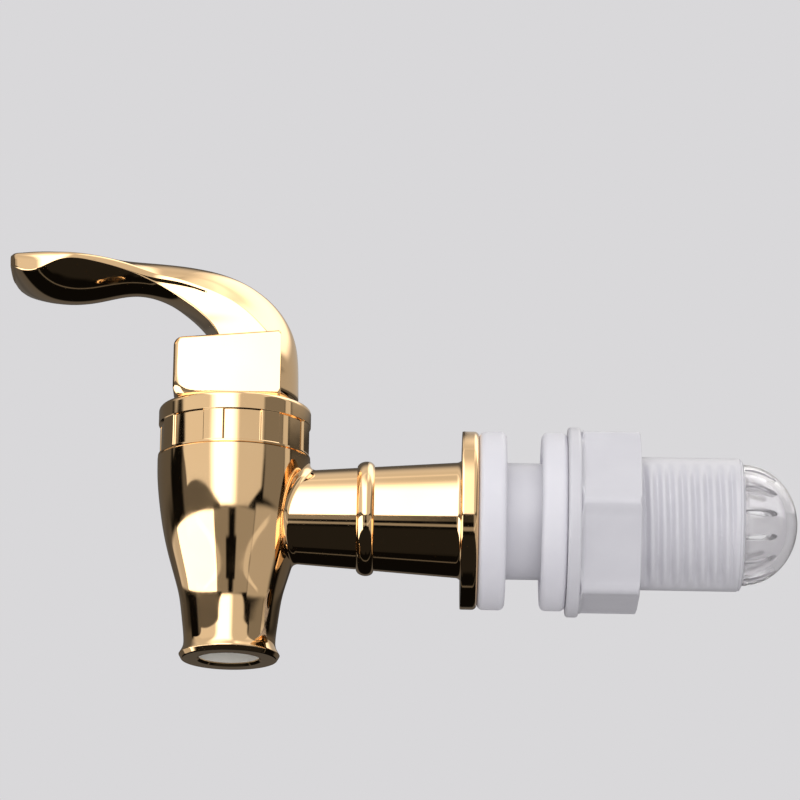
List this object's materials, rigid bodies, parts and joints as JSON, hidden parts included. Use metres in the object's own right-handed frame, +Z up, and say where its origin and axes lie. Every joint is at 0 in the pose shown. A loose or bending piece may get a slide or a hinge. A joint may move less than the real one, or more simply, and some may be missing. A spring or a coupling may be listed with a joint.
{
  "type": "beverage dispenser spigot",
  "caption": "Push-lever dispenser tap with a tapered arm, a downward outlet, a ribbed screw cap, a threaded shank with washers and a flanged hex nut, and a slotted strainer dome.",
  "frame": {"origin": "centre of the front washer's sealing face, where the tank wall's outer side starts", "axes": "+X along the shank into the tank, +Z up, with the outlet pointing down -Z and the lever towards -X"},
  "size_m": [0.0955, 0.0228, 0.049],
  "materials": {
    "gold_plate": "ABS plated with gold, mirror polished",
    "white_plastic": "white moulded plastic, satin",
    "silicone": "milky white silicone, matte",
    "natural_plastic": "natural translucent polypropylene, satin",
    "clear_plastic": "clear moulded plastic, slightly cloudy",
    "spring_steel": "stainless spring wire"
  },
  "bodies": {
    "body": {"tap_body": "gold_plate", "outlet_sleeve": "white_plastic", "screw_cap": "gold_plate", "threaded_shank": "natural_plastic", "front_washer": "silicone", "strainer": "clear_plastic"},
    "seat": {"seat_cup": "silicone", "return_spring": "spring_steel"},
    "stem": {"valve_stem": "white_plastic"},
    "lever": {"lever": "gold_plate"},
    "washer": {"rear_washer": "silicone"},
    "nut": {"clamp_nut": "natural_plastic"}
  },
  "joints": [
    {"name": "plug_lift", "type": "slide", "parent": "body", "child": "seat", "axis": [0, 0, 1], "range_m": [0, 0.0021], "deforming": ["seat_cup", "return_spring"]},
    {"name": "handle_swivel", "type": "hinge", "parent": "seat", "child": "stem", "pos_m": [-0.03275, 0, 0], "axis": [0, 0, 1], "continuous": true},
    {"name": "lever_press", "type": "hinge", "parent": "stem", "child": "lever", "pos_m": [-0.03275, 0, 0.017], "axis": [0, -1, 0], "range_deg": [0, 20], "stiffness_Nm_per_rad": 0.053, "springref_deg": -28.65},
    {"name": "washer_slide", "type": "slide", "parent": "body", "child": "washer", "axis": [1, 0, 0], "range_m": [-0.002, 0.012]},
    {"name": "nut_turn", "type": "hinge", "parent": "washer", "child": "nut", "pos_m": [0, 0, 0], "axis": [1, 0, 0], "range_deg": [-480, 2880]}
  ],
  "couplings": [
    {"joint": "plug_lift", "follows": "lever_press", "m_per_rad": 0.00595},
    {"joint": "washer_slide", "follows": "nut_turn", "m_per_rad": 0.00023873}
  ]
}
